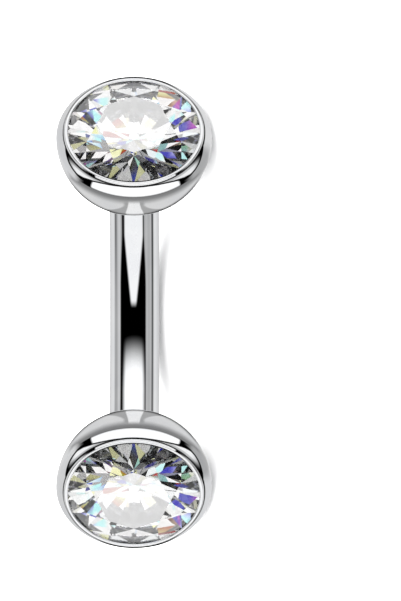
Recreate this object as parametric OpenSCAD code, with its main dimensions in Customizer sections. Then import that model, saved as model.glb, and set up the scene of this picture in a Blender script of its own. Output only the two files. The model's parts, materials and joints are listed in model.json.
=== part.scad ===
// Curved barbell for a navel piercing: a bent bar with a ball at each end, and a
// round brilliant stone held by a thin lip in each ball. It lies on its side, on
// both balls and on the middle of the bar. X runs from the lower ball to the top
// ball, Z is up, and the open side of the bend faces -Y and a little upward.

/* [Bar] */
// Thickness of the bar
bar_d = 1.6; // [1.4:0.1:2]
// Angle between each end of the bar and the straight line through both balls
end_angle = 50.4; // [42:0.2:56]
// Straight stretch at each end of the bar, as deep as the post needs
straight_end = 1.6; // [1.2:0.1:2]
// Rounding of the edge at each end of the bar
bar_edge = 0.08; // [0.04:0.01:0.12]
// How much the turned ends stand proud of the bend, a step too small to see
end_step = 0.002; // [0.001:0.001:0.005]

/* [Balls] */
// Diameter of each ball
ball_d = 5; // [4.8:0.1:5.4]
// Straight distance between the middles of the balls
ball_span = 11.2; // [11:0.1:18]
// Radius of the round shoulder between the ball and its lip
shoulder_r = 0.25; // [0.2:0.01:0.3]
// Height of the lip above the shoulder
lip_h = 0.14; // [0.12:0.01:0.2]
// Width of the lip, seen along the stone
lip_w = 0.15; // [0.13:0.01:0.2]
// Rounding of the lip's outer edge
lip_edge = 0.04; // [0.02:0.01:0.06]

/* [Stones] */
// Width of the stone across its girdle
girdle_d = 4.36; // [4.3:0.01:4.4]
// Thickness of the girdle
girdle_t = 0.08; // [0.04:0.01:0.1]
// Depth of the girdle's upper edge below the top of the lip
girdle_drop = 0.11; // [0.1:0.01:0.14]
// Width of the table across its corners
table_d = 2.36; // [2:0.02:2.8]
// Height of the table above the girdle's upper edge
crown_h = 0.39; // [0.3:0.01:0.6]
// Slope of the main facets below the girdle
pavilion_angle = 40.8; // [39:0.1:42]
// Reach of the star facets from the table's edge to the girdle
star_share = 0.5; // [0.4:0.05:0.6]
// Reach of the lower facets from the girdle to the stone's point
lower_share = 0.77; // [0.6:0.01:0.85]

/* [Posts] */
// Diameter over the thread of the top ball's post
post_d = 0.9; // [0.8:0.02:0.96]
// Length of each post
post_l = 1.5; // [1.2:0.1:1.6]
// Distance from one ridge of the thread to the next
thread_pitch = 0.225; // [0.2:0.005:0.25]
// Height of the thread's ridges
thread_h = 0.07; // [0.05:0.01:0.09]

/* [Gaps] */
// Gap all round the stone, in its seat
stone_gap = 0.03; // [0.02:0.01:0.04]
// Gap between a ball and the end of the bar
seat_gap = 0.02; // [0.01:0.01:0.04]
// Gap round each post, in its hole
hole_gap = 0.02; // [0.01:0.01:0.04]

/* [Hidden] */
$fn = 96;

steel = "#c9ccd1";
crystal = "#eef4fa";

// Heights below are measured from the middle of a ball, outward along its stone.
bar_r = bar_d / 2;
ball_r = ball_d / 2;
flat_r = bar_r;
flat_at = -sqrt(ball_r * ball_r - flat_r * flat_r);
lip_r = ball_r - shoulder_r;
lip_in = lip_r - lip_w;
lip_top = shoulder_r + lip_h;

// The stone: the girdle's two edges, the table and the point at the bottom.
facets = 8;
girdle_r = girdle_d / 2;
table_r = table_d / 2;
girdle_top = lip_top - girdle_drop;
girdle_low = girdle_top - girdle_t;
table_at = girdle_top + crown_h;
point_at = girdle_low - girdle_r * tan(pavilion_angle);
crown_fall = crown_h / (girdle_r - table_r);
half_step = 180 / facets;

// The tips of the star facets lie on the kite facets, half a step to one side.
table_in = table_r * cos(half_step);
star_r = table_in + star_share * (girdle_r - table_in);
star_at = table_at - crown_fall * (star_r * cos(half_step) - table_r);
// The tips of the lower facets lie on the main facets below the girdle.
lower_r = (1 - lower_share) * girdle_r;
lower_at = point_at + tan(pavilion_angle) * lower_r * cos(half_step);

// The seat follows the stone: a cone below, a step at the girdle, and the lip.
seat_r = girdle_r + stone_gap;
seat_low = girdle_low - stone_gap;
seat_top = girdle_top + stone_gap;
seat_point = point_at - 3 * stone_gap;
lip_fall = 0.45;
lip_under = seat_top + lip_fall * (seat_r - lip_in);

// The hole in each end of the bar, and how deep it goes past the post.
post_r = post_d / 2;
hole_r = post_r + hole_gap;
hole_spare = 0.25;
hole_l = post_l - seat_gap + hole_spare;
drill_h = 0.25;
mouth = 0.05;
post_tip = 0.12;
ridges = floor((post_l - 2 * post_tip) / thread_pitch);

// The bend: the middle of the bar is at the origin and the balls lie toward -Y.
// It ends inside the straight ends, which start a little way down it.
bend_tube = bar_r - end_step;
lap = 0.04;
end_at = flat_at - seat_gap;
reach = straight_end - end_at;
bend_r = (ball_span / 2 - reach * cos(end_angle)) / sin(end_angle);
bend_in = reach * sin(end_angle) + bend_r * (1 - cos(end_angle));

// At rest the balls and the middle of the bar touch the same level, Z = 0.
tilt = asin((ball_r - bend_tube) / bend_in);
// The lip reaches furthest toward -Y, so the part is centred between it and the bar.
toward = sin(end_angle) * cos(tilt);
across = sqrt(1 - toward * toward);
lip_reach = (lip_top - lip_edge) * toward + (lip_r - lip_edge) * across + lip_edge;
front = bend_in * cos(tilt) + lip_reach;
shift = (front - bend_tube) / 2;

// Puts the whole ring, made flat with its bend toward -Y, into its rest place.
module at_rest() {
    translate([0, shift, bend_tube]) rotate([-tilt, 0, 0]) children();
}

// Puts a piece made round Z, from the middle of a ball, onto the top ball.
module on_top() {
    at_rest() translate([ball_span / 2, -bend_in, 0]) rotate([0, 90, -end_angle])
        children();
}

// The same on the lower ball, which mirrors the top one.
module on_bottom() {
    at_rest() mirror([1, 0, 0]) translate([ball_span / 2, -bend_in, 0])
        rotate([0, 90, -end_angle]) children();
}

// Half outline of a ball: a flat for the bar, the ball's lower half, the round
// shoulder and the lip.
module ball_outline() {
    intersection() {
        circle(ball_r);
        translate([0, flat_at]) square([ball_r, -flat_at]);
    }
    translate([0, -shoulder_r]) square([lip_r, 2 * shoulder_r]);
    intersection() {
        translate([lip_r, 0]) circle(shoulder_r);
        translate([lip_r, -shoulder_r]) square(2 * shoulder_r);
    }
    square([lip_r, lip_top - lip_edge]);
    square([lip_r - lip_edge, lip_top]);
    translate([lip_r - lip_edge, lip_top - lip_edge]) circle(lip_edge);
}

// Half outline of the hollow that holds the stone, open at the top.
module seat_outline() {
    above = lip_top + 1;
    polygon([
        [0, seat_point], [seat_r, seat_low], [seat_r, seat_top],
        [lip_in, lip_under], [lip_in, above], [0, above]
    ]);
}

// A polished cup: the ball less the stone's seat.
module cup() {
    rotate_extrude() difference() {
        ball_outline();
        seat_outline();
    }
}

// Half outline of a ridged post, from inside the ball down to its tapered tip.
module ridged_outline() {
    root_r = post_r - thread_h;
    tip_at = flat_at - post_l;
    first_at = flat_at - post_tip;
    turns = [for (i = [0 : ridges - 1])
        each [[root_r, first_at - i * thread_pitch],
              [post_r, first_at - (i + 0.5) * thread_pitch]]];
    last_at = first_at - ridges * thread_pitch;
    polygon(concat(
        [[0, flat_at + post_tip], [root_r, flat_at + post_tip]],
        turns,
        [[root_r, last_at], [root_r, tip_at + post_tip / 2],
         [root_r - post_tip / 2, tip_at], [0, tip_at]]
    ));
}

// A plain post, for the joint that stays closed.
module plain_post() {
    translate([0, 0, flat_at - post_l]) cylinder(h = post_l + post_tip, r = post_r);
}

// Corners at one height, starting part of a step round.
function ring(radius, at, count, turn) =
    [for (i = [0 : count - 1])
        let (a = turn + i * 360 / count) [radius * cos(a), radius * sin(a), at]];

// A round brilliant: table, star and kite facets, upper facets, girdle, lower
// facets and main facets that meet in a point.
module brilliant() {
    edges = 2 * facets;
    points = concat(
        ring(table_r, table_at, facets, 0),
        ring(star_r, star_at, facets, half_step),
        ring(girdle_r, girdle_top, edges, 0),
        ring(girdle_r, girdle_low, edges, 0),
        ring(lower_r, lower_at, facets, half_step),
        [[0, 0, point_at]]
    );
    star = facets;
    upper = star + facets;
    lower = upper + edges;
    inner = lower + edges;
    point = inner + facets;
    table_face = [[for (i = [facets - 1 : -1 : 0]) i]];
    round_faces = [for (i = [0 : facets - 1])
        let (n = (i + 1) % facets, p = (i + facets - 1) % facets,
             g = 2 * i, h = 2 * i + 1, m = (2 * i + 2) % edges)
        each [
            [i, n, star + i],
            [i, star + i, upper + g, star + p],
            [star + i, upper + h, upper + g],
            [star + i, upper + m, upper + h],
            [upper + g, upper + h, lower + h, lower + g],
            [upper + h, upper + m, lower + m, lower + h],
            [lower + g, lower + h, inner + i],
            [lower + h, lower + m, inner + i],
            [lower + g, inner + i, point, inner + p]
        ]];
    polyhedron(points, concat(table_face, round_faces));
}

// One straight end of the bar, along Z, with its rounded edge at the end.
module bar_end() {
    rotate_extrude() {
        translate([0, -lap]) square([bar_r, straight_end - bar_edge + lap]);
        square([bar_r - bar_edge, straight_end]);
        translate([bar_r - bar_edge, straight_end - bar_edge]) circle(bar_edge);
    }
}

// The hole for a post, along Z, with its mouth at the end of the bar.
module post_hole() {
    translate([0, 0, straight_end - hole_l]) cylinder(h = hole_l + 1, r = hole_r);
    translate([0, 0, straight_end - hole_l - drill_h])
        cylinder(h = drill_h, r1 = 0, r2 = hole_r);
    translate([0, 0, straight_end - mouth])
        cylinder(h = mouth, r1 = hole_r, r2 = hole_r + mouth);
}

// Puts a piece made along Z onto the place where the bend turns straight.
module at_bend_end() {
    translate([bend_r * sin(end_angle), bend_r * (cos(end_angle) - 1), 0])
        rotate([0, 90, -end_angle]) children();
}

module bar() {
    color(steel) at_rest() difference() {
        union() {
            translate([0, -bend_r, 0]) rotate([0, 0, 90 - end_angle])
                rotate_extrude(angle = 2 * end_angle)
                    translate([bend_r, 0]) circle(bend_tube);
            at_bend_end() bar_end();
            mirror([1, 0, 0]) at_bend_end() bar_end();
        }
        at_bend_end() post_hole();
        mirror([1, 0, 0]) at_bend_end() post_hole();
    }
}

module top_ball() {
    color(steel) on_top() {
        cup();
        rotate_extrude() ridged_outline();
    }
}

module top_stone() {
    color(crystal) on_top() brilliant();
}

module lower_ball() {
    color(steel) on_bottom() {
        cup();
        plain_post();
    }
}

module lower_stone() {
    color(crystal) on_bottom() brilliant();
}

bar();
top_ball();
top_stone();
lower_ball();
lower_stone();
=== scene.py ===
# %% [markdown]
# # A curved navel barbell with two set stones
#
# The ring is a bent steel bar with a polished ball at each end. Each ball is a
# cup that holds a round brilliant under a thin lip, and the top ball comes off
# on a threaded post. The solids that carry all this are packed already, at real
# size. This script loads them, dresses each one with a finely made mesh in the
# very same place, and lights the scene as a small jewellery studio.

import json
import random
from math import acos, asin, atan2, ceil, cos, degrees, pi, radians, sin, sqrt, tan

import bmesh
import bpy
import numpy as np
from mathutils import Matrix, Vector


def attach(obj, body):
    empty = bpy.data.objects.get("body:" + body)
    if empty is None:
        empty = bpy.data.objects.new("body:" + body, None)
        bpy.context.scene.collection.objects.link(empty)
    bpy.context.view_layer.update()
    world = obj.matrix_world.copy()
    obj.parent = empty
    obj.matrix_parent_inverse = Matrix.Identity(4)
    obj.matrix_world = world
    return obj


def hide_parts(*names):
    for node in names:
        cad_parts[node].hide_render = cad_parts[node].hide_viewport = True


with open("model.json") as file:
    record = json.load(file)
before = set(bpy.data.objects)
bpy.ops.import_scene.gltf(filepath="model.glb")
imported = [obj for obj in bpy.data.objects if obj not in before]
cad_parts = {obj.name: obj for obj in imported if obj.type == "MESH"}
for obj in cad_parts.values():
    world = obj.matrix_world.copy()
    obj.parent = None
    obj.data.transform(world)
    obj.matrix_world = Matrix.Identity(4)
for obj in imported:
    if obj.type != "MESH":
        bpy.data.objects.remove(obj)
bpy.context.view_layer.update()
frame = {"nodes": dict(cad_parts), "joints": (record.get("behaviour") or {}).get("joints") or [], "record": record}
print("Solids:", ", ".join(sorted(frame["nodes"])))

# %% [markdown]
# ## Where things are
#
# Nothing here is placed by eye. The record of the solids gives the two facts
# that fix the whole ring: the way in which the top ball slides off, which is
# also the way in which its stone faces, and the middle of the bend. From those
# come three directions. The ring lies on its side, so they lean a little.

# %% Directions of the ring
MM = 0.001
slide = frame["joints"][0]
stone_way = Vector(slide["axis"]).normalized()
bend_middle = Vector(frame["record"]["mounts"][0]["pos_m"])

lean = atan2(stone_way.z, -stone_way.y)
end_angle = acos(stone_way.x)
along = Vector((1, 0, 0))
open_side = Vector((0, -cos(lean), sin(lean)))
across = along.cross(open_side)
print(f"The ring leans {degrees(lean):.1f} degrees, its ends {degrees(end_angle):.1f}")

# %% Sizes of the steel
BAR_R = 0.8 * MM
BAR_EDGE = 0.08 * MM
STRAIGHT_END = 1.6 * MM
BALL_R = 2.5 * MM
BALL_SPAN = 11.2 * MM
SEAT_GAP = 0.02 * MM
POST_R = 0.45 * MM
POST_L = 1.5 * MM
POST_TIP = 0.12 * MM
HOLE_R = POST_R + 0.02 * MM
HOLE_L = 1.73 * MM
PITCH = 0.225 * MM
THREAD_H = 0.07 * MM

flat_at = -sqrt(BALL_R**2 - BAR_R**2)
reach = STRAIGHT_END - flat_at + SEAT_GAP
bend_r = (BALL_SPAN / 2 - reach * cos(end_angle)) / sin(end_angle)
bend_in = reach * sin(end_angle) + bend_r * (1 - cos(end_angle))
half_arc = bend_r * end_angle
half_bar = half_arc + STRAIGHT_END
print(f"The bar is {2 * half_bar / MM:.2f} mm long, bent to {bend_r / MM:.2f} mm")

# %% Sizes of the lip and the stone
LIP_R = 2.25 * MM
LIP_IN = 2.11 * MM
LIP_TOP = 0.36 * MM
LIP_EDGE = 0.03 * MM
GIRDLE_R = 2.18 * MM
GIRDLE_TOP = 0.28 * MM
GIRDLE_LOW = 0.20 * MM
TABLE_R = 1.18 * MM
CROWN_H = 0.39 * MM
PAVILION = radians(40.8)
STAR_SHARE = 0.5
LOWER_SHARE = 0.77
STONE_GAP = 0.03 * MM
FACETS = 8

table_at = GIRDLE_TOP + CROWN_H
point_at = GIRDLE_LOW - GIRDLE_R * tan(PAVILION)
print(f"Each stone is {(table_at - point_at) / MM:.2f} mm deep")

# %% [markdown]
# ## Places to build in
#
# Round things are easiest to make round an axis. So each end of the ring gets a
# matrix of its own: its Z is the way in which the stone faces, its Y points to
# the ring's far end, and its origin is the middle of the ball. A mesh is worked
# out in that simple place and then moved by the matrix. Since both Y axes point
# outward, the two balls are mirror images and can share every formula later. The
# bar has such a matrix at every point along its bend.

# %% The place of each ball
def axes_at(origin, x, y, z):
    """A matrix with these three axes at this origin."""
    place = Matrix((x, y, z)).transposed().to_4x4()
    place.translation = origin
    return place


def ball_place(side):
    """The place of the top ball for side 1, and of the lower ball for side -1."""
    facing = Vector((side * stone_way.x, stone_way.y, stone_way.z))
    middle = bend_middle + open_side * bend_in + along * (side * BALL_SPAN / 2)
    return axes_at(middle, across, facing.cross(across) * side, facing)


def bar_place(walked):
    """The place on the bar's line, this far from its middle."""
    bent = max(-half_arc, min(half_arc, walked)) / bend_r
    forward = along * cos(bent) + open_side * sin(bent)
    outward = along * sin(bent) - open_side * cos(bent)
    spot = bend_middle + open_side * bend_r + outward * bend_r
    spot += forward * (walked - bent * bend_r)
    return axes_at(spot, across, outward, forward)


top_place, lower_place = ball_place(1), ball_place(-1)
print("Middle of the top ball, mm:", [round(v / MM, 3) for v in top_place.translation])

# %% [markdown]
# ## A loft
#
# A turned piece could be drawn as a curve and spun with a Screw modifier. But a
# real thread isn't round: its radius changes as it goes round. A loft of rings
# does both. Each ring is a circle, or nearly one, and quads join it to the next.
# The loft also writes a UV map that says how far round and how far along each
# point is. The finish reads it later, to run its polish marks round the piece.

# %% Rings of points
TURNS = 144


def ring(place, radius, height=0.0):
    """One ring of points round a place's Z. The radius may differ from point to point."""
    angle = np.arange(TURNS) * 2 * pi / TURNS
    radius = np.broadcast_to(radius, angle.shape)
    local = np.stack([radius * np.cos(angle), radius * np.sin(angle),
                      np.full(TURNS, height), np.ones(TURNS)], axis=1)
    return (local @ np.array(place).T)[:, :3]


print("Points in a ring:", TURNS)

# %% Outsides and the map
def face_outward(mesh):
    """Turns every face of a closed mesh to the outside."""
    work = bmesh.new()
    work.from_mesh(mesh)
    bmesh.ops.recalc_face_normals(work, faces=work.faces)
    work.to_mesh(mesh)
    work.free()


def write_lathe_map(mesh, rings):
    """A UV map of turns round and millimetres along, for the polish marks."""
    middles = np.array([r.mean(axis=0) for r in rings])
    radii = np.array([np.linalg.norm(r[0] - m) for r, m in zip(rings, middles)])
    steps = np.hypot(np.linalg.norm(np.diff(middles, axis=0), axis=1), np.diff(radii))
    length = np.concatenate([[0], np.cumsum(steps)]) / MM
    uv = mesh.uv_layers.new(name="lathe")
    for face in mesh.polygons:
        spots = [((v - 1) % TURNS, (v - 1) // TURNS) for v in face.vertices]
        wraps = {0, TURNS - 1} <= {s[0] for s in spots}
        for loop, (turn, row) in zip(face.loop_indices, spots):
            turn = TURNS if wraps and turn == 0 else turn
            row = max(0, min(len(rings) - 1, row))
            uv.data[loop].uv = (turn / TURNS, length[row])


# %% A loft of rings
def loft(name, first, rings, last):
    """A closed mesh from a first point, through the rings, to a last point."""
    points = np.concatenate([[first], *rings, [last]])
    end = len(points) - 1
    faces = []
    for row in range(len(rings) - 1):
        low, high = 1 + row * TURNS, 1 + (row + 1) * TURNS
        for i in range(TURNS):
            after = (i + 1) % TURNS
            faces.append((low + i, low + after, high + after, high + i))
    last_row = 1 + (len(rings) - 1) * TURNS
    for i in range(TURNS):
        after = (i + 1) % TURNS
        faces.append((0, 1 + after, 1 + i))
        faces.append((last_row + i, last_row + after, end))
    mesh = bpy.data.meshes.new(name)
    mesh.from_pydata(points.tolist(), [], faces)
    write_lathe_map(mesh, rings)
    face_outward(mesh)
    mesh.shade_smooth()
    return mesh


# %% Pieces of the scene
def add_piece(name, mesh, body, node):
    """Puts a mesh in the scene as the piece that stands for a solid."""
    piece = bpy.data.objects.new(name, mesh)
    bpy.context.scene.collection.objects.link(piece)
    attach(piece, body)
    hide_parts(node)
    print(f"{name}: {len(mesh.polygons)} faces")
    return piece


# %% [markdown]
# ## The thread
#
# A screw thread is one ridge wound round the post. On a ring at some height, the
# ridge is at one angle, and on the next ring it has moved on a little. So the
# radius is a plain function of the angle and the height, with a ridge once each
# turn. Cutting a helix with a Boolean would give the same shape and a poor mesh.

# %% The shape of the thread
RIDGE_FLAT = 0.16
RINGS_PER_PITCH = 14


def ridge(height):
    """How far the thread stands out, from 0 to 1, at each point of a ring."""
    turn = np.arange(TURNS) / TURNS
    saw = np.abs(((height / PITCH - turn) % 1) * 2 - 1)
    return np.clip((saw - RIDGE_FLAT) / (1 - 2 * RIDGE_FLAT), 0, 1)


def fade(value, start, end):
    """A smooth step from 0 at start to 1 at end."""
    share = max(0.0, min(1.0, (value - start) / (end - start)))
    return share * share * (3 - 2 * share)


print(f"The thread makes {POST_L / PITCH:.1f} turns on the post")

# %% [markdown]
# ## The bar
#
# The bar is a straight length of polished rod that is bent round a former. Its
# two ends stay straight, because the holes for the posts are drilled and tapped
# there. Seen as a loft it is one long walk: from the bottom of the lower hole,
# out along the thread, over the rounded rim, along the bend, and into the top
# hole. Both ends use the same list of rings, walked in opposite directions.

# %% Rings of one end of the bar
MOUTH = 0.05 * MM
MOUTH_FLAT = 1.6 * MOUTH
DRILL_H = 0.25 * MM
GROOVE = 0.06 * MM
ARC_STEPS = 8


def end_rings():
    """(distance back from the end's face, radius) of each ring, from the hole to the rim."""
    made = [(HOLE_L + DRILL_H * (1 - k), HOLE_R * k) for k in (0.25, 0.5, 0.75, 1)]
    count = ceil((HOLE_L - MOUTH) / PITCH * RINGS_PER_PITCH)
    for i in range(1, count + 1):
        depth = HOLE_L - (HOLE_L - MOUTH) * i / count
        made.append((depth, HOLE_R + GROOVE * ridge(depth) * fade(depth, HOLE_L, HOLE_L - PITCH)))
    for k in (0.35, 0.7, 1):
        depth = MOUTH * (1 - k)
        made.append((depth, np.maximum(HOLE_R + MOUTH * k, HOLE_R + GROOVE * ridge(depth))))
    made += [(0, HOLE_R + MOUTH_FLAT), (0, (HOLE_R + BAR_R) / 2), (0, BAR_R - BAR_EDGE)]
    for i in range(1, ARC_STEPS + 1):
        turn = i / ARC_STEPS * pi / 2
        made.append((BAR_EDGE * (1 - cos(turn)), BAR_R - BAR_EDGE * (1 - sin(turn))))
    return made


print("Rings at each end of the bar:", len(end_rings()))

# %% The bar itself
BEND_STEPS = 120


def make_bar():
    walk = end_rings()
    lower = [ring(bar_place(back - half_bar), radius) for back, radius in walk]
    upper = [ring(bar_place(half_bar - back), radius) for back, radius in reversed(walk)]
    clear = half_bar - BAR_EDGE
    middle = [ring(bar_place(-clear + 2 * clear * i / BEND_STEPS), BAR_R)
              for i in range(1, BEND_STEPS)]
    tip = half_bar - HOLE_L - DRILL_H
    return loft("bar", bar_place(-tip).translation, lower + middle + upper,
                bar_place(tip).translation)


bar = add_piece("polished_bar", make_bar(), "barbell", "bar")

# %% [markdown]
# ## The balls
#
# Each ball is turned on a lathe in one piece: a round belly, a small round
# shoulder above its widest line, and the thin lip that is pushed over the stone.
# Its outline is only lines and arcs, so that is how it is written down. The
# inside is a seat that follows the stone with a hair's gap.
#
# On real polished steel every edge is slightly round, and that is where the thin
# bright and dark lines come from. Blender could bevel the edges afterwards, but
# a loft keeps its even rings if the outline is rounded first, as it is here.

# %% The outline of a ball
SHOULDER_R = BALL_R - LIP_R
BELLY_STEPS = 56
SEAT_STEPS = (0.05, 0.25, 0.5, 0.75, 0.99)
seat_at = point_at - 3 * STONE_GAP


def arc(centre, radius, start, end, steps=ARC_STEPS):
    """Points of an arc in the outline, from one angle in degrees to another."""
    turns = [radians(start + (end - start) * i / steps) for i in range(steps + 1)]
    return [(centre[0] + radius * cos(t), centre[1] + radius * sin(t)) for t in turns]


def seat_and_lip():
    """(radius, height) of the seat and of the lip, from the bottom of the seat."""
    seat_r = GIRDLE_R + STONE_GAP
    low, high = GIRDLE_LOW - STONE_GAP, GIRDLE_TOP + STONE_GAP
    made = [(seat_r * k, seat_at + (low - seat_at) * k) for k in SEAT_STEPS]
    made += [(seat_r, low), (seat_r, high)]
    made += arc((LIP_IN + LIP_EDGE, LIP_TOP - LIP_EDGE), LIP_EDGE, 180, 90)
    made += arc((LIP_R - LIP_EDGE, LIP_TOP - LIP_EDGE), LIP_EDGE, 90, 0)
    return made


def shoulder_and_belly():
    """(radius, height) from the foot of the lip, over the shoulder, to the flat."""
    lowest = degrees(asin(flat_at / BALL_R))
    made = arc((LIP_R, 0), SHOULDER_R, 90, 0, 3 * ARC_STEPS)
    return made + arc((0, 0), BALL_R, 0, lowest, BELLY_STEPS)[1:]


print("Points in a ball's outline:", len(seat_and_lip() + shoulder_and_belly()))

# %% Posts
POST_ROOT = POST_R - THREAD_H
NECK_FLARE = 0.03 * MM
FLAT_RING = BAR_R * 0.75
THREAD_FROM, THREAD_FULL = 0.03 * MM, POST_TIP + 0.06 * MM
TIP_FROM, TIP_FULL = 0.5 * POST_TIP, 1.6 * POST_TIP


def thread_rings(place):
    """The top ball's post: a plain neck, the helical thread and a tapered tip."""
    made = [ring(place, FLAT_RING, flat_at), ring(place, POST_ROOT + NECK_FLARE, flat_at)]
    count = ceil(POST_L / PITCH * RINGS_PER_PITCH)
    for i in range(count + 1):
        depth = POST_L * i / count
        stands = fade(depth, THREAD_FROM, THREAD_FULL)
        stands *= fade(POST_L - depth, TIP_FROM, TIP_FULL)
        taper = 0.5 * POST_TIP * (1 - fade(POST_L - depth, 0, POST_TIP))
        radius = POST_ROOT - taper + THREAD_H * ridge(flat_at - depth) * stands
        made.append(ring(place, radius, flat_at - depth))
    return made


def plain_post_rings(place):
    """The lower ball's post, which never shows: a plain pin with a small chamfer."""
    bottom = flat_at - POST_L
    return [ring(place, FLAT_RING, flat_at), ring(place, POST_R, flat_at),
            ring(place, POST_R, bottom + POST_TIP / 2),
            ring(place, POST_R - POST_TIP / 2, bottom)]


print("Rings on the threaded post:", len(thread_rings(top_place)))

# %% Both balls
def make_ball(name, place, post_rings):
    outline = seat_and_lip() + shoulder_and_belly()
    rings = [ring(place, radius, height) for radius, height in outline]
    rings += post_rings(place)
    seat_bottom = place @ Vector((0, 0, seat_at))
    post_end = place @ Vector((0, 0, flat_at - POST_L))
    return loft(name, seat_bottom, rings, post_end)


top_ball = add_piece("top_cup", make_ball("top_cup", top_place, thread_rings),
                     "top_end", "top_ball")
lower_ball = add_piece("lower_cup", make_ball("lower_cup", lower_place, plain_post_rings),
                       "barbell", "lower_ball")

# %% [markdown]
# ## The stones
#
# A round brilliant is eight-fold: a flat table, eight star facets round it,
# eight kites, sixteen upper facets down to the girdle, and below it sixteen
# lower facets and eight mains that meet in a point. Every facet is truly flat
# here, since a stone lives by its flat faces. Smooth shading or a bevel would
# bend the light and turn the sparkle to jelly.

# %% Corners of a brilliant
def circle_points(place, radius, height, count, turn):
    """Corners at one height, starting part of a step round."""
    made = []
    for i in range(count):
        angle = radians(turn) + i * 2 * pi / count
        made.append(place @ Vector((radius * cos(angle), radius * sin(angle), height)))
    return made


# %% Facets of a brilliant
def make_stone(name, place):
    step = 180 / FACETS
    inward = cos(radians(step))
    star_r = TABLE_R * inward + STAR_SHARE * (GIRDLE_R - TABLE_R * inward)
    star_at = table_at - CROWN_H / (GIRDLE_R - TABLE_R) * (star_r * inward - TABLE_R)
    lower_r = (1 - LOWER_SHARE) * GIRDLE_R
    lower_at = point_at + tan(PAVILION) * lower_r * inward
    rows = [circle_points(place, TABLE_R, table_at, FACETS, 0),
            circle_points(place, star_r, star_at, FACETS, step),
            circle_points(place, GIRDLE_R, GIRDLE_TOP, 2 * FACETS, 0),
            circle_points(place, GIRDLE_R, GIRDLE_LOW, 2 * FACETS, 0),
            circle_points(place, lower_r, lower_at, FACETS, step),
            [place @ Vector((0, 0, point_at))]]
    table, star, upper, lower, inner, point = (
        sum(len(r) for r in rows[:k]) for k in range(len(rows)))
    faces = [tuple(range(FACETS))]
    for i in range(FACETS):
        after, before = (i + 1) % FACETS, (i - 1) % FACETS
        here, half, there = 2 * i, 2 * i + 1, (2 * i + 2) % (2 * FACETS)
        faces += [(table + after, table + i, star + i),
                  (table + i, star + before, upper + here, star + i),
                  (star + i, upper + here, upper + half),
                  (star + i, upper + half, upper + there),
                  (upper + here, lower + here, lower + half, upper + half),
                  (upper + half, lower + half, lower + there, upper + there),
                  (lower + here, inner + i, lower + half),
                  (lower + half, inner + i, lower + there),
                  (lower + here, inner + before, point, inner + i)]
    mesh = bpy.data.meshes.new(name)
    mesh.from_pydata([list(corner) for row in rows for corner in row], [], faces)
    face_outward(mesh)
    return mesh


# %% Both stones
top_stone = add_piece("top_brilliant", make_stone("top_brilliant", top_place),
                      "top_end", "top_stone")
lower_stone = add_piece("lower_brilliant", make_stone("lower_brilliant", lower_place),
                        "barbell", "lower_stone")

# %% [markdown]
# ## Wiring nodes from a script
#
# Materials are graphs of nodes. A few small helpers keep them readable: one makes
# a node and fills its inputs in order, one does sums, and the rest are the sums
# that come up again and again. An input takes either a number or the output of
# another node.

# %% Making and linking nodes
def plug(tree, socket, value):
    """Links an output to this input, or sets the input to a plain value."""
    if isinstance(value, bpy.types.NodeSocket):
        tree.links.new(value, socket)
    elif value is not None:
        socket.default_value = value


def node(tree, kind, *inputs, **settings):
    """A node of this kind with its settings, and its inputs filled in order."""
    made = tree.nodes.new(kind)
    for name, value in settings.items():
        setattr(made, name, value)
    for place, value in enumerate(inputs):
        plug(tree, made.inputs[place], value)
    return made


# %% Sums with nodes
MIX_SOCKETS = {"FLOAT": (2, 3, 0), "VECTOR": (4, 5, 1), "RGBA": (6, 7, 2)}


def sums(tree, operation, *inputs):
    """The result of a sum."""
    return node(tree, "ShaderNodeMath", *inputs, operation=operation).outputs[0]


def smooth(tree, value, start, end, low=0.0, high=1.0):
    """A soft step: low up to start, high from end on."""
    made = node(tree, "ShaderNodeMapRange", value, start, end, low, high,
                interpolation_type="SMOOTHSTEP")
    return made.outputs[0]


def distance(tree, x, middle):
    """How far x is from a middle, to either side."""
    return sums(tree, "ABSOLUTE", sums(tree, "SUBTRACT", x, middle))


def mix(tree, share, low, high, kind="FLOAT"):
    """The value low where the share is 0, and high where it is 1."""
    made = node(tree, "ShaderNodeMix", share, data_type=kind)
    low_socket, high_socket, result = MIX_SOCKETS[kind]
    plug(tree, made.inputs[low_socket], low)
    plug(tree, made.inputs[high_socket], high)
    return made.outputs[result]


def multiply(tree, *values):
    """The product of two values or more."""
    made = values[0]
    for value in values[1:]:
        made = sums(tree, "MULTIPLY", made, value)
    return made


def brightest(tree, *values):
    """The largest of two values or more."""
    made = values[0]
    for value in values[1:]:
        made = sums(tree, "MAXIMUM", made, value)
    return made


def invert(tree, mask):
    """1 where a mask is 0, and 0 where it is 1."""
    return sums(tree, "SUBTRACT", 1.0, mask)


def dot(tree, vector, axis):
    """How far a vector reaches along a fixed direction."""
    made = node(tree, "ShaderNodeVectorMath", vector, tuple(axis), operation="DOT_PRODUCT")
    return made.outputs["Value"]


print("Kinds of mix:", ", ".join(kind.lower() for kind in MIX_SOCKETS))


# %% [markdown]
# ## Polished steel
#
# Surgical steel that has been buffed is almost a mirror, but not quite. The
# buffing wheel leaves very fine marks that run round the piece, fingers leave
# faint clouds, and both change how sharp a reflection is. These marks are one
# node group that puts out a tone, a roughness and a height, so that each steel
# can take them in its own strength while its shader stays in the material.

# %% The node group of polish marks
GROUP_INPUTS = {"Clouds per mm": 0.9, "Marks per mm": 40.0, "Cloud": 0.5, "Mark": 0.5}
CLOUD_DETAIL, CLOUD_ROUGHNESS = 3.0, 0.55
MARK_DETAIL, MARK_ROUGHNESS = 2.0, 0.6
CLOUDY, MARKED, TONED = (0.42, 0.72), (0.45, 0.75), (0.3, 0.7)


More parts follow.
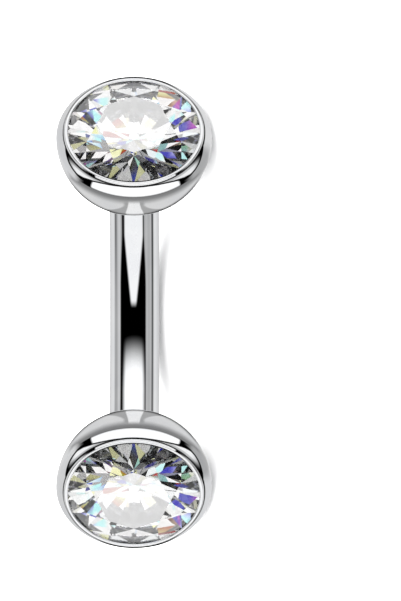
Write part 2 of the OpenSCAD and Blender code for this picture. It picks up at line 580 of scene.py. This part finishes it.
def lathe_map(tree):
    """How far round a loft each point lies, in turns, and how far along, in millimetres."""
    found = node(tree, "ShaderNodeUVMap", uv_map="lathe").outputs[0]
    split = node(tree, "ShaderNodeSeparateXYZ", found).outputs
    return split["X"], split["Y"]


def make_polish_group():
    tree = bpy.data.node_groups.new("Polish marks", "ShaderNodeTree")
    face = tree.interface
    for name, value in GROUP_INPUTS.items():
        socket = face.new_socket(name=name, in_out="INPUT", socket_type="NodeSocketFloat")
        socket.default_value = value
    for name in ("Tone", "Haze", "Height"):
        face.new_socket(name=name, in_out="OUTPUT", socket_type="NodeSocketFloat")
    given = tree.nodes.new("NodeGroupInput").outputs
    result = tree.nodes.new("NodeGroupOutput").inputs

    place = node(tree, "ShaderNodeTexCoord").outputs["Object"]
    in_mm = node(tree, "ShaderNodeVectorMath", place, (1 / MM,) * 3, operation="MULTIPLY")
    clouds = node(tree, "ShaderNodeTexNoise", in_mm.outputs[0], None, given["Clouds per mm"],
                  CLOUD_DETAIL, CLOUD_ROUGHNESS).outputs[0]

    round_it, along_it = lathe_map(tree)
    turn = sums(tree, "MULTIPLY", round_it, 2 * pi)
    lined = node(tree, "ShaderNodeCombineXYZ", sums(tree, "COSINE", turn), sums(tree, "SINE", turn),
                 sums(tree, "MULTIPLY", along_it, given["Marks per mm"])).outputs[0]
    marks = node(tree, "ShaderNodeTexNoise", lined, None, 1.0, MARK_DETAIL,
                 MARK_ROUGHNESS).outputs[0]

    haze = sums(tree, "ADD", multiply(tree, smooth(tree, clouds, *CLOUDY), given["Cloud"]),
                multiply(tree, smooth(tree, marks, *MARKED), given["Mark"]))
    plug(tree, result["Tone"], smooth(tree, clouds, *TONED))
    plug(tree, result["Haze"], haze)
    plug(tree, result["Height"], multiply(tree, marks, given["Mark"]))
    return tree


polish_marks = make_polish_group()
print("Group:", polish_marks.name, "with", len(polish_marks.nodes), "nodes")

# %% [markdown]
# ## Painted dark seams
#
# Where the lip meets the stone, and where it rises from the shoulder, a fine
# corner lies in shade, and on the far side the lip's outer edge mirrors dark.
# Each shows as a hair of shadow. A real groove in the mesh would be far thinner
# than a pixel, and it would flicker. So the shade is painted into the steel's
# colour: the loft's UV map says how far along the outline each point lies, and
# the tone goes dark close to three such lengths, at the stone, the outer edge and
# the foot. Turned round the piece, the first shows only toward the bar and the
# second away from it, as the light from above would have it.

# %% Painted shade lines of a ball
SHADE_LINE_HALVES = (0.030, 0.034, 0.030)
SHADE_LINE_DARKEST = 0.03
TOWARD_BAR = (-0.4, -0.8)
TOWARD_END = (0.1, 0.5)


def shade_line_places():
    """Where the painted shade lines lie along a ball's outline, in millimetres: stone, edge and foot."""
    inner = seat_and_lip()
    foot = (LIP_R, SHOULDER_R)
    lengths = np.cumsum(np.hypot(*np.diff(inner + [foot], axis=0).T)) / MM
    corner = len(inner) - 2 * (ARC_STEPS + 1)
    return [float(lengths[k]) for k in (corner + ARC_STEPS - 1, corner + 3 * ARC_STEPS // 2, -1)]


def painted_seam_shade(tree):
    """1 on the steel, and painted darker as shade in the fine corners and on the lip's outer edge."""
    round_it, along_it = lathe_map(tree)
    # painted shade: dark lines by the stone, on the lip's outer edge and at the lip's foot
    shade_by_stone, shade_on_edge, shade_by_foot = [
        smooth(tree, distance(tree, along_it, place), 0.5 * half, 1.5 * half, SHADE_LINE_DARKEST, 1.0)
        for place, half in zip(shade_line_places(), SHADE_LINE_HALVES)]
    to_end = sums(tree, "SINE", sums(tree, "MULTIPLY", round_it, 2 * pi))
    shade_by_stone = mix(tree, smooth(tree, to_end, *TOWARD_BAR), 1.0, shade_by_stone)
    shade_on_edge = mix(tree, smooth(tree, to_end, *TOWARD_END), 1.0, shade_on_edge)
    return multiply(tree, shade_by_stone, shade_on_edge, shade_by_foot)


print("Seams at, mm along the outline:", [round(place, 3) for place in shade_line_places()])

# %% [markdown]
# ## Out of sight of mirrors
#
# In a real mirror the bar would show both balls and its own far end, and each
# ball the other stone. A product photograph has none of that, since such
# reflections are retouched. Hiding a whole object from reflections would be
# simpler, but the seat has to show in the stone that lies in it. So the Light
# Path node decides it: a ray that comes from a mirror, and from farther away
# than a set length, goes straight through. The one image that is missed, that
# of the bar in each ball, is drawn later with the ball's own light.
#
# The first shader in each Mix Shader is the plain finish, so a tool that knows
# nothing of rays still finds it.

# %% Out of sight of far mirrors
NEAR = 0.4 * MM
NEAR_BAR = 3.0 * MM


def hide_from_far_mirrors(tree, shader, near):
    """Makes a piece clear to the rays that come to it from a mirror farther away than near."""
    path = node(tree, "ShaderNodeLightPath").outputs
    inside = node(tree, "ShaderNodeNewGeometry").outputs["Backfacing"]
    passed = sums(tree, "GREATER_THAN", path["Transparent Depth"], 0.5)
    outside = brightest(tree, invert(tree, inside), passed)
    far = sums(tree, "GREATER_THAN", path["Ray Length"], near)
    clear = node(tree, "ShaderNodeBsdfTransparent").outputs[0]
    mirrored = node(tree, "ShaderNodeMixShader", multiply(tree, far, outside),
                    shader.outputs[0], clear)
    both = node(tree, "ShaderNodeMixShader", path["Is Glossy Ray"], shader.outputs[0],
                mirrored.outputs[0])
    plug(tree, tree.nodes["Material Output"].inputs["Surface"], both.outputs[0])


print(f"Mirrors lose the stones beyond {NEAR / MM:.1f} mm and the bar beyond {NEAR_BAR / MM:.1f}")

# %% Steel for the bar and for the balls
SHARPEST = 0.012
MARK_STRENGTH = 0.02
MARK_HEIGHT = 0.001 * MM


def make_steel(name, bright, dull, softest, cloud, mark, of_ball):
    """Polished steel between two tones. Its reflections are softest in the marks."""
    steel = bpy.data.materials.new(name)
    steel.use_nodes = True
    tree = steel.node_tree
    shader = tree.nodes["Principled BSDF"]
    group = node(tree, "ShaderNodeGroup", node_tree=polish_marks)
    group.inputs["Cloud"].default_value = cloud
    group.inputs["Mark"].default_value = mark
    colour = mix(tree, group.outputs["Tone"], (*dull, 1), (*bright, 1), "RGBA")
    near = NEAR_BAR
    if of_ball:
        # the painted shade lines darken the ball's tone at the lip's corners and outer edge
        colour = node(tree, "ShaderNodeVectorMath", colour, painted_seam_shade(tree),
                      operation="MULTIPLY").outputs[0]
        in_seat = sums(tree, "LESS_THAN", lathe_map(tree)[1], shade_line_places()[0])
        near = multiply(tree, in_seat, NEAR)
    hide_from_far_mirrors(tree, shader, near)
    plug(tree, shader.inputs["Base Color"], colour)
    plug(tree, shader.inputs["Roughness"],
         smooth(tree, group.outputs["Haze"], 0.0, 1.0, SHARPEST, softest))
    bump = node(tree, "ShaderNodeBump", MARK_STRENGTH, MARK_HEIGHT)
    plug(tree, bump.inputs["Height"], group.outputs["Height"])
    plug(tree, shader.inputs["Normal"], bump.outputs[0])
    shader.inputs["Metallic"].default_value = 1.0
    steel.diffuse_color = (*bright, 1)
    return steel


# %% The two steels
bar_steel = make_steel("Bar steel", (0.85, 0.86, 0.87), (0.80, 0.81, 0.83), 0.05, 0.4, 0.5, False)
ball_steel = make_steel("Ball steel", (0.86, 0.865, 0.87), (0.80, 0.81, 0.83), 0.04, 0.5, 0.3, True)
bar.data.materials.append(bar_steel)
for ball in (top_ball, lower_ball):
    ball.data.materials.append(ball_steel)
print("Steels:", bar_steel.name, "and", ball_steel.name)

# %% [markdown]
# ## The clear stones
#
# The stones are cubic zirconia, which bends light much more than glass does, so
# nearly all that enters through the crown is thrown back by the facets below. So
# the material is plain clear glass, and the pattern comes from the facets and
# from what they look at. Zirconia's index is 2.16. It is set a little higher
# here, because this plain cut leaks more light below than a well-cut stone.
#
# Each facet differs a little in tint, as a hand-polished one does. The table
# is tinted dark, a painted shade, so that it lets less through than the rest: in
# a photograph the lamp's reflection hides what lies under it, and that is easier
# to keep in balance in this way.

# %% Cubic zirconia
STONE_IOR = 2.42
TABLE_PAINTED_SHADE = 0.24


def tint_facets(mesh, seed):
    """Writes a slightly different tint for each facet. The first facet, the table, gets a dark tint of painted
    shade.
    """
    tints = mesh.attributes.new("facet_tint", "FLOAT_COLOR", "CORNER")
    maker = random.Random(seed)
    for facet in mesh.polygons:
        warm, mauve = maker.uniform(-1, 1), maker.uniform(0, 1)
        shade = (0.97 + 0.02 * warm, 0.985 - 0.03 * mauve, 0.97 - 0.02 * warm, 1)
        # the table's dark tint is painted shade, so that the glare on it stands out
        if facet.index == 0:
            shade = (TABLE_PAINTED_SHADE, TABLE_PAINTED_SHADE, TABLE_PAINTED_SHADE, 1)
        for loop in facet.loop_indices:
            tints.data[loop].color = shade


def make_crystal():
    crystal = bpy.data.materials.new("Clear zirconia")
    crystal.use_nodes = True
    tree = crystal.node_tree
    shader = tree.nodes["Principled BSDF"]
    tint = node(tree, "ShaderNodeAttribute", attribute_name="facet_tint")
    plug(tree, shader.inputs["Base Color"], tint.outputs["Color"])
    shader.inputs["Roughness"].default_value = 0.0
    shader.inputs["IOR"].default_value = STONE_IOR
    shader.inputs["Transmission Weight"].default_value = 1.0
    hide_from_far_mirrors(tree, shader, NEAR)
    crystal.diffuse_color = (0.94, 0.96, 0.98, 1)
    return crystal


# %% Facets of zirconia
crystal = make_crystal()
for seed, stone in enumerate((top_stone, lower_stone)):
    tint_facets(stone.data, seed)
    stone.data.materials.append(crystal)
    print(f"{stone.name}: {len(stone.data.polygons)} facets of {crystal.name}")

# %% [markdown]
# ## The studio
#
# Polished metal has no look of its own: it shows the studio. Jewellery is shot
# among white cards and black flags, so that the steel gets dark lines and a
# shape, and the photographer moves them about until each part looks right. Cards
# on stands would be slow to place here. Instead each part looks at a large box
# round the whole scene, whose walls give off light by a formula, and Blender's
# light linking lets each box light its own parts alone. The boxes don't show to
# the camera, and they are clear, so one doesn't hide another.
#
# What a mirror shows depends on which way its surface faces. So the formula
# takes the direction halfway between the light and the camera's side, which is
# the way a surface has to face to show that light.
#
# The steel also mirrors itself. Such a second image has nothing to do with the
# way its surface faces, so it would copy the pattern in odd places. The Light
# Path node tells how many mirrors a ray has met, and each box gives a plainer
# light for the second and for the later ones. No two boxes are the same size,
# because of two walls in the same place Blender would find only one.

# %% Facing a light box
FAR = 8.0
WORLD_MIDDLE = Vector((0, 0, 0))


def facing_of(tree, way):
    """The way in which a mirror faces, if it shows the open side the light from here."""
    halfway = node(tree, "ShaderNodeVectorMath", way, tuple(open_side), operation="ADD")
    made = node(tree, "ShaderNodeVectorMath", halfway.outputs[0], operation="NORMALIZE")
    return made.outputs[0]


print(f"Boxes reach {FAR:.0f} m and more from a ring that is {BALL_SPAN / MM:.1f} mm long")

# %% A box of light
def make_glow(name, draw):
    """A clear surface that gives off the light that draw makes from the way to it."""
    glow = bpy.data.materials.new(name)
    glow.use_nodes = True
    tree = glow.node_tree
    tree.nodes.clear()
    place = node(tree, "ShaderNodeTexCoord").outputs["Object"]
    way = node(tree, "ShaderNodeVectorMath", place, operation="NORMALIZE").outputs[0]
    light = node(tree, "ShaderNodeEmission", draw(tree, way), 1.0)
    clear = node(tree, "ShaderNodeBsdfTransparent")
    both = node(tree, "ShaderNodeAddShader", light.outputs[0], clear.outputs[0])
    node(tree, "ShaderNodeOutputMaterial", both.outputs[0])
    glow.cycles.emission_sampling = "NONE"
    return glow


def add_light_box(name, half, middle, parts, draw, also_through=False):
    """A box of light that only these parts see, in mirrors and also through them if asked."""
    ends = (-half, half)
    corners = [(x, y, z) for x in ends for y in ends for z in ends]
    walls = [(0, 1, 3, 2), (4, 6, 7, 5), (0, 4, 5, 1), (2, 3, 7, 6), (0, 2, 6, 4), (1, 5, 7, 3)]
    mesh = bpy.data.meshes.new(name)
    mesh.from_pydata(corners, [], walls)
    mesh.materials.append(make_glow(name, draw))
    box = bpy.data.objects.new(name, mesh)
    box.location = middle
    bpy.context.scene.collection.objects.link(box)
    for ray in ("camera", "diffuse", "volume_scatter", "shadow"):
        setattr(box, "visible_" + ray, False)
    box.visible_transmission = also_through
    lit = bpy.data.collections.new(name + " parts")
    for part in parts:
        lit.objects.link(part)
    box.light_linking.receiver_collection = lit
    print(f"{name} lights {', '.join(part.name for part in parts)}")


# %% Helpers for drawing with light
def curve_of(tree, value, points):
    """A value read from a curve through these points. Both go from 0 to 1."""
    ramp = node(tree, "ShaderNodeValToRGB", value)
    stops = ramp.color_ramp.elements
    while len(stops) < len(points):
        stops.new(0.5)
    for stop, (place, level) in zip(stops, points):
        stop.position = place
        stop.color = (level, level, level, 1)
    return ramp.outputs[0]


def band(tree, x, middle, half, soft):
    """1 near a middle and 0 away from it. The half width may be an output."""
    over = sums(tree, "SUBTRACT", distance(tree, x, middle), half)
    return smooth(tree, over, soft, -soft)


def under(tree, value, limit, soft):
    """1 where a value is under a limit, and 0 where it is over it."""
    return smooth(tree, sums(tree, "SUBTRACT", value, limit), soft, -soft)


def after_bounces(tree, first, second, later):
    """The light that a ray gets by how many mirrors it has met on its way."""
    met = node(tree, "ShaderNodeLightPath").outputs["Glossy Depth"]
    twice, thrice = smooth(tree, met, 1.4, 1.6), smooth(tree, met, 2.4, 2.6)
    return mix(tree, twice, first, mix(tree, thrice, second, later))


# %% [markdown]
# ## The bar's box
#
# The bar is a mirror that curves both ways. Across it lie upright panels at both
# sides, with a dark gap in each that draws a fine line down the bar, and a black
# flag between them. Along it lie two white windows with black between them. The
# window that the top half shows is narrow near the middle and wider away from
# it, so it ends in a tongue.
#
# The numbers that shape the light stand above it. Most are soft steps: the
# first two say where a step starts and ends, and the next two what it leads
# from and to, which is from 0 to 1 where they are left out.

# %% Panels across the bar
PANELS = (
    (-1.000, 0.56), (-0.955, 0.76), (-0.870, 0.86), (-0.825, 0.84), (-0.790, 0.60),
    (-0.740, 0.50), (-0.680, 0.53), (-0.625, 0.74), (-0.580, 0.66), (-0.530, 0.50),
    (0.450, 0.55), (0.500, 0.58), (0.540, 0.52), (0.600, 0.50), (0.650, 0.58),
    (0.700, 0.58), (0.770, 0.66), (0.800, 0.86), (0.850, 0.88), (0.930, 0.74), (1.000, 0.60),
)
GAP_HALF = 0.036
GAP_SOFT = 0.02
LEFT_GAP = (-0.755, (-0.8, 0.1, 0.8, 0.2))
RIGHT_GAP = (0.724, (-0.8, 0.4, 0.9, 0.75))
FLAG_MIDDLE, FLAG_HALF, FLAG_SOFT = -0.055, 0.515, 0.03
FLAG_TAPER = (-0.2, -0.8, 0.0, 0.07)


def draw_panels(tree, x, y):
    """Light of the panels across the bar, with the flag and the two gaps taken out."""
    half = sums(tree, "MULTIPLY_ADD", x, 0.5, 0.5)
    panels = curve_of(tree, half, [((place + 1) / 2, light) for place, light in PANELS])
    flag_half = sums(tree, "SUBTRACT", FLAG_HALF, smooth(tree, y, *FLAG_TAPER))
    dark = [band(tree, x, FLAG_MIDDLE, flag_half, FLAG_SOFT)]
    for middle, depth in (LEFT_GAP, RIGHT_GAP):
        gap = band(tree, x, middle, GAP_HALF, GAP_SOFT)
        dark.append(multiply(tree, gap, smooth(tree, y, *depth)))
    return multiply(tree, panels, *(invert(tree, mask) for mask in dark))


print(f"The flag covers {FLAG_HALF:.0%} of the bar's width")

# %% Windows along the bar
TONGUE = {"middle": -0.035, "half": 0.065, "flare": 0.42, "soft": 0.045,
          "step": (-0.045, -0.13), "light": 1.08}
WINDOW = {"middle": -0.025, "half": 0.335, "flare": 0.1, "soft": 0.09,
          "step": (0.22, 0.62), "light": 1.25}
BAR_SECOND, BAR_LATER = 0.8, 0.5


def draw_window(tree, x, y, middle, half, flare, soft, step, light):
    """A white window that starts at a step along the bar and flares away from its middle."""
    wide = sums(tree, "MULTIPLY_ADD", sums(tree, "ABSOLUTE", y), flare, half)
    return multiply(tree, band(tree, x, middle, wide, soft), smooth(tree, y, *step), light)


def draw_bar_light(tree, way):
    facing = facing_of(tree, way)
    x, y = dot(tree, facing, across), dot(tree, facing, along)
    first = brightest(tree, draw_panels(tree, x, y), draw_window(tree, x, y, **TONGUE),
                      draw_window(tree, x, y, **WINDOW))
    return after_bounces(tree, first, BAR_SECOND, BAR_LATER)


add_light_box("Bar box", FAR, WORLD_MIDDLE, [bar], draw_bar_light)

# %% [markdown]
# ## The balls' boxes
#
# A ball is round about its stone's direction, so its box is drawn in two angles:
# the turn round the stone, from the side nearest the middle of the ring, and the
# rise from the ball's widest line up to the stone's direction. The round shoulder
# goes through every rise from 0 to 90 degrees, so what is drawn there shows as
# the white crescent under the lip, with black at its ends and fine black lines.
#
# The belly shows the rest. Toward the bar lies the bar's own image, a small light
# wedge between two grey fans, and a dark line where the ball turns away from the
# camera. The lower ball has the mirror image of the top one's box.

# %% Angles round a stone
LEFT_SIDE = (20, -20)


def angles_round(tree, facing, place):
    """In degrees, the turn of a facing round a ball's stone, and its rise toward it."""
    right_way, end_way, out = (place.col[k].xyz for k in range(3))
    right, inward = dot(tree, facing, right_way), dot(tree, facing, -end_way)
    turn = sums(tree, "DEGREES", sums(tree, "ARCTAN2", right, inward))
    rise = sums(tree, "DEGREES", sums(tree, "ARCSINE", dot(tree, facing, out)))
    return turn, rise


print("Way out of the top stone:", [round(v, 3) for v in top_place.col[2].xyz])

# %% The black line on the shoulder
BLACK_LINE = ((0, 84), (13, 83), (24, 74), (30, 65), (36, 53), (42, 35), (48, 31), (54, 38),
              (60, 48), (66, 61), (72, 73), (78, 84), (90, 86), (140, 83), (165, 50), (180, 30))
WIDEST_TURN = 42
LINE_HALF = (0, 9, 9.0, 3.0)
LEFT_RAISED = (42, 54, 0, 5)
ABOVE_SOFT, BELOW_SOFT = 7, 4


def beside_black_line(tree, turned, rise, on_left):
    """Two masks: what lies above the black line, and what lies below it."""
    line = curve_of(tree, sums(tree, "DIVIDE", turned, 180),
                    [(turn / 180, rise_there / 90) for turn, rise_there in BLACK_LINE])
    raised = multiply(tree, on_left, smooth(tree, turned, *LEFT_RAISED))
    line = sums(tree, "MULTIPLY_ADD", line, 90, raised)
    over = sums(tree, "SUBTRACT", rise, line)
    half = smooth(tree, distance(tree, turned, WIDEST_TURN), *LINE_HALF)
    above = smooth(tree, sums(tree, "SUBTRACT", over, half), 0, ABOVE_SOFT)
    below = smooth(tree, sums(tree, "ADD", over, half), 0, -BELOW_SOFT)
    return above, below


print("The black line runs through", len(BLACK_LINE), "points")

# %% Light on the shoulder
CRESCENT_TURN, CRESCENT_HALF, CRESCENT_SOFT = 1.5, 35.0, 1
CRESCENT_RISE, CRESCENT_LIGHT = (-2, 16), 1.25
SIDES_TURN, SIDES_RISE = (40, 52), (-9, 1)
LEFT_LIGHT, LEFT_SLOPE = 0.78, -0.0006
RIGHT_LIGHT = (70, 84, 0.47, 0.82)
FOOT_RISE, FOOT_TURN, FOOT_DEPTH = (75, 84), (50, 60), 0.9
INNER_TURN, INNER_LIGHT = (68, 50), (64, 74, 1.05, 0.6)
TOP_LIGHT = (86.5, 87.8, 0.0, 1.12)


def light_of_sides(tree, turned, rise, on_left):
    """The light of a ball's two sides."""
    left = sums(tree, "MULTIPLY_ADD", rise, LEFT_SLOPE, LEFT_LIGHT)
    return mix(tree, on_left, smooth(tree, turned, *RIGHT_LIGHT), left)


def draw_shoulder(tree, turn, turned, rise, on_left, side_light):
    """Light on the shoulder: crescent and sides below the black line, a glint above it."""
    above, below = beside_black_line(tree, turned, rise, on_left)
    ends = smooth(tree, distance(tree, turn, CRESCENT_TURN),
                  CRESCENT_HALF + CRESCENT_SOFT, CRESCENT_HALF - CRESCENT_SOFT)
    crescent = multiply(tree, below, ends, smooth(tree, rise, *CRESCENT_RISE), CRESCENT_LIGHT)

    sides = multiply(tree, below, smooth(tree, turned, *SIDES_TURN),
                     smooth(tree, rise, *SIDES_RISE), side_light)

    to_sides = brightest(tree, on_left, smooth(tree, turned, *FOOT_TURN))
    foot = multiply(tree, smooth(tree, rise, *FOOT_RISE), to_sides, FOOT_DEPTH)
    inner = multiply(tree, above, smooth(tree, turned, *INNER_TURN),
                     smooth(tree, rise, *INNER_LIGHT), invert(tree, foot))
    return brightest(tree, crescent, sides, inner, smooth(tree, rise, *TOP_LIGHT))


print(f"The crescent spans {2 * CRESCENT_HALF:.0f} degrees of turn")

# %% Light on the belly
LINE_LIGHT = (-11, -1, 0.76, 0.25)
BELLY_TURN, BELLY_RISE = (44, 62), (2, 0)
IMAGE_EDGE, IMAGE_SOFT = (-6, -30, 4.6, 8.0), 1
IMAGE_LIGHT = (-2, -9, 0.25, 0.97)
FAN_EDGE, FAN_SOFT = (-9, -38, 7.5, 34), 1.5
FAN_RISE, FAN_DEPTH = (-4, -9), 0.42


def draw_belly(tree, turned, rise, side_light):
    """Light on the belly, with the bar's image and the two grey fans beside it."""
    to_sides = multiply(tree, smooth(tree, turned, *BELLY_TURN), side_light)
    fan = multiply(tree, under(tree, turned, smooth(tree, rise, *FAN_EDGE), FAN_SOFT),
                   smooth(tree, rise, *FAN_RISE), FAN_DEPTH)
    plain = multiply(tree, brightest(tree, smooth(tree, rise, *LINE_LIGHT), to_sides),
                     invert(tree, fan))
    bar_image = multiply(tree, under(tree, turned, smooth(tree, rise, *IMAGE_EDGE), IMAGE_SOFT),
                         smooth(tree, rise, *IMAGE_LIGHT))
    return multiply(tree, brightest(tree, plain, bar_image), smooth(tree, rise, *BELLY_RISE))


print(f"The bar's image is {2 * IMAGE_EDGE[3]:.0f} degrees wide where it is widest")

# %% The whole light of a ball
RIM_LIGHT = (0.10, 0.27, 0.10, 1.0)
RIM_TURN = (50, 70)
BALL_SECOND, BALL_LATER = 0.5, 0.3


def make_ball_light(place):
    """The function that draws the light for the ball at this place."""

    def draw(tree, way):
        facing = facing_of(tree, way)
        turn, rise = angles_round(tree, facing, place)
        turned = sums(tree, "ABSOLUTE", turn)
        on_left = smooth(tree, turn, *LEFT_SIDE)
        side_light = light_of_sides(tree, turned, rise, on_left)
        made = brightest(tree, draw_shoulder(tree, turn, turned, rise, on_left, side_light),
                         draw_belly(tree, turned, rise, side_light))
        rim = smooth(tree, dot(tree, facing, open_side), *RIM_LIGHT)
        made = multiply(tree, made, mix(tree, smooth(tree, turned, *RIM_TURN), rim, 1.0))
        return after_bounces(tree, made, BALL_SECOND, BALL_LATER)

    return draw


add_light_box("Top ball box", 1.1 * FAR, WORLD_MIDDLE, [top_ball], make_ball_light(top_place))
add_light_box("Lower ball box", 1.2 * FAR, WORLD_MIDDLE, [lower_ball],
              make_ball_light(lower_place))

# %% [markdown]
# ## Fire
#
# A stone splits white light, and flashes blue and orange where a facet looks at
# the edge of a lamp. Cycles has one index for all colours, so it can't do that
# by itself, and three glasses for red, green and blue would be very noisy. But
# the colours only ever show at the edges of the lamps. So what the stones look
# at is drawn three times, a little to one side for red and to the other for
# blue. It is a wall of white, grey and black cards, made by a Voronoi texture.
#
# These boxes are small. From a wall far away a flat facet gets one flat tone,
# and from a near one its tone changes across it, as real facets do. The lamp
# that glares on the table is a bright round spot, for outer reflections alone.
# Light that was thrown about in the stone many times is evened out, because it
# would only make dots that are finer than a pixel.

# %% A wall of cards
FIRE = (-0.040, -0.010, 0.048)
FIRE_ACROSS, FIRE_ALONG = 0.8, 0.6
COLOUR_SHARE = 0.45
CARDS_PER_UNIT = 5.0
CARDS_ROUNDED = 0.3
CARDS_FROM = (3.30, 9.14, 2.71)
CARD_LIGHT = (0.15, 0.35, 0.0, 1.35)
DARKER_SIDES = (0.35, 0.55, 0.0, 0.12)
DIMMER_END = (0.15, 0.5, 1.0, 0.75)


def draw_cards(tree, x, y, z, shift):
    """A wall of white, grey and black cards in every direction."""
    spot = node(tree, "ShaderNodeCombineXYZ",
                sums(tree, "ADD", x, CARDS_FROM[0] + shift * FIRE_ACROSS),
                sums(tree, "ADD", y, CARDS_FROM[1] + shift * FIRE_ALONG),
                sums(tree, "ADD", z, CARDS_FROM[2])).outputs[0]
    cells = node(tree, "ShaderNodeTexVoronoi", feature="SMOOTH_F1", distance="CHEBYCHEV")
    plug(tree, cells.inputs["Vector"], spot)
    cells.inputs["Scale"].default_value = CARDS_PER_UNIT
    cells.inputs["Smoothness"].default_value = CARDS_ROUNDED
    pick = node(tree, "ShaderNodeSeparateColor", cells.outputs["Color"]).outputs[0]
    darker = smooth(tree, sums(tree, "ABSOLUTE", x), *DARKER_SIDES)
    light = smooth(tree, sums(tree, "SUBTRACT", pick, darker), *CARD_LIGHT)
    return multiply(tree, light, smooth(tree, y, *DIMMER_END))


def draw_fire(tree, x, y, z):
    """Red, green and blue of the cards, each part plain and part shifted, as three outputs."""
    plain = draw_cards(tree, x, y, z, 0.0)
    return [mix(tree, COLOUR_SHARE, plain, draw_cards(tree, x, y, z, shift)) for shift in FIRE]


print(f"Red and blue lie {FIRE[2] - FIRE[0]:.3f} apart on the cards")

# %% Light for one stone
GLARE = 3.8
GLARE_EDGE = (cos(radians(9)), cos(radians(7)))
AROUND_GLARE = (0.75, 0.35, 0.04, 0.9)
LOST_SHARE = (2.6, 4.4, 0.0, 0.7)
LOST_LIGHT = 0.22
NEAR_BOX = 14 * MM


def make_stone_light(place, side):
    """The function that draws the light for the stone at this place."""
    out = place.col[2].xyz

    def draw(tree, way):
        x, z = dot(tree, way, across), dot(tree, way, open_side)
        y = dot(tree, way, along * side)
        path = node(tree, "ShaderNodeLightPath").outputs
        lost = smooth(tree, path["Glossy Depth"], *LOST_SHARE)
        fire = [mix(tree, lost, one, LOST_LIGHT) for one in draw_fire(tree, x, y, z)]
        inner = node(tree, "ShaderNodeCombineXYZ", *fire).outputs[0]

        outward = dot(tree, facing_of(tree, way), out)
        around = smooth(tree, dot(tree, way, out), *AROUND_GLARE)
        glare = mix(tree, smooth(tree, outward, *GLARE_EDGE), around, GLARE)
        outer = node(tree, "ShaderNodeCombineXYZ", glare, glare, glare).outputs[0]
        return mix(tree, path["Is Transmission Ray"], outer, inner, "VECTOR")

    return draw


add_light_box("Top stone box", NEAR_BOX, top_place.translation, [top_stone],
              make_stone_light(top_place, 1), also_through=True)
add_light_box("Lower stone box", 1.1 * NEAR_BOX, lower_place.translation, [lower_stone],
              make_stone_light(lower_place, -1), also_through=True)

# %% [markdown]
# ## The world
#
# The steel and the stones have their boxes. The world is left with two things:
# it lights the floor, and it is the plain white that shows behind all. The two
# strengths differ, so the Light Path node picks one for rays from the camera.

# %% The world
FLOOR_LIGHT = 3.2
BACKGROUND = 1.0


def make_world():
    world = bpy.data.worlds.new("Studio")
    world.use_nodes = True
    tree = world.node_tree
    path = node(tree, "ShaderNodeLightPath").outputs
    from_ring = brightest(tree, path["Is Glossy Ray"], path["Is Transmission Ray"])
    plain = multiply(tree, invert(tree, from_ring), FLOOR_LIGHT)
    seen = sums(tree, "MULTIPLY_ADD", path["Is Camera Ray"], BACKGROUND - FLOOR_LIGHT, plain)
    plug(tree, tree.nodes["Background"].inputs["Strength"], seen)
    tree.nodes["Background"].inputs["Color"].default_value = (1, 1, 1, 1)
    return world


scene = bpy.context.scene
scene.world = make_world()
print(f"{scene.world.name}: {FLOOR_LIGHT} on the floor, {BACKGROUND} to the camera")

# %% [markdown]
# ## The floor
#
# The floor is a wide, pale, matte sheet. It shows the ring's soft shadow and
# nothing else. The polished steel would mirror it too, and hide the studio
# below, so the floor doesn't show in reflections or through the stones.

# %% Floor
FLOOR_SIZE = 3.0
FLOOR_TONE = 0.93


def make_floor():
    mesh = bpy.data.meshes.new("floor")
    half = FLOOR_SIZE / 2
    mesh.from_pydata([(-half, -half, 0), (half, -half, 0), (half, half, 0), (-half, half, 0)],
                     [], [(0, 1, 2, 3)])
    floor = bpy.data.objects.new("floor", mesh)
    scene.collection.objects.link(floor)
    paint = bpy.data.materials.new("Pale floor")
    paint.use_nodes = True
    shader = paint.node_tree.nodes["Principled BSDF"]
    shader.inputs["Base Color"].default_value = (FLOOR_TONE, FLOOR_TONE, FLOOR_TONE, 1)
    shader.inputs["Roughness"].default_value = 0.9
    shader.inputs["Specular IOR Level"].default_value = 0.0
    mesh.materials.append(paint)
    floor.visible_glossy = False
    floor.visible_transmission = False
    return floor


floor = make_floor()
print(f"The floor is {FLOOR_SIZE} m wide")

# %% [markdown]
# ## The camera
#
# The photograph looks straight into the open side of the bend, with the ring
# upright in the picture. The ring lies on its side, so the camera is rolled by a
# quarter turn instead: up in the picture is along the ring. A very long lens
# keeps both balls and the bar at one scale, as the photograph does.

# %% Camera
PICTURE_W, PICTURE_H = 401, 601
PIXELS_PER_MM = 31.2
RING_X, RING_Y = 133.9, 312.5
LENS = 800.0


def make_camera():
    camera = bpy.data.objects.new("camera", bpy.data.cameras.new("camera"))
    scene.collection.objects.link(camera)
    lens = camera.data
    lens.lens = LENS
    pixel = MM / PIXELS_PER_MM
    away = PICTURE_H * pixel * LENS / lens.sensor_width
    middle = (top_place.translation + lower_place.translation) / 2
    middle += across * ((PICTURE_W / 2 - RING_X) * pixel)
    middle += along * ((RING_Y - PICTURE_H / 2) * pixel)
    camera.matrix_world = axes_at(middle + open_side * away, across, along, open_side)
    lens.clip_start, lens.clip_end = away / 100, away * 20
    return camera


scene.camera = make_camera()
print("Camera at, mm:", [round(v / MM) for v in scene.camera.location])

# %% [markdown]
# ## How the picture is made
#
# A ray can cross a stone and bounce in it a dozen times before it leaves, so the
# limits on bounces go up. So does the limit on clear surfaces in a row, because
# every wall of light is one. The plain Standard view keeps white as white.

# %% Render settings
scene.view_settings.view_transform = "Standard"
scene.cycles.max_bounces = 40
scene.cycles.transmission_bounces = 32
scene.cycles.glossy_bounces = 16
scene.cycles.transparent_max_bounces = 40
scene.cycles.use_denoising = True
print("Bounces at most:", scene.cycles.max_bounces)
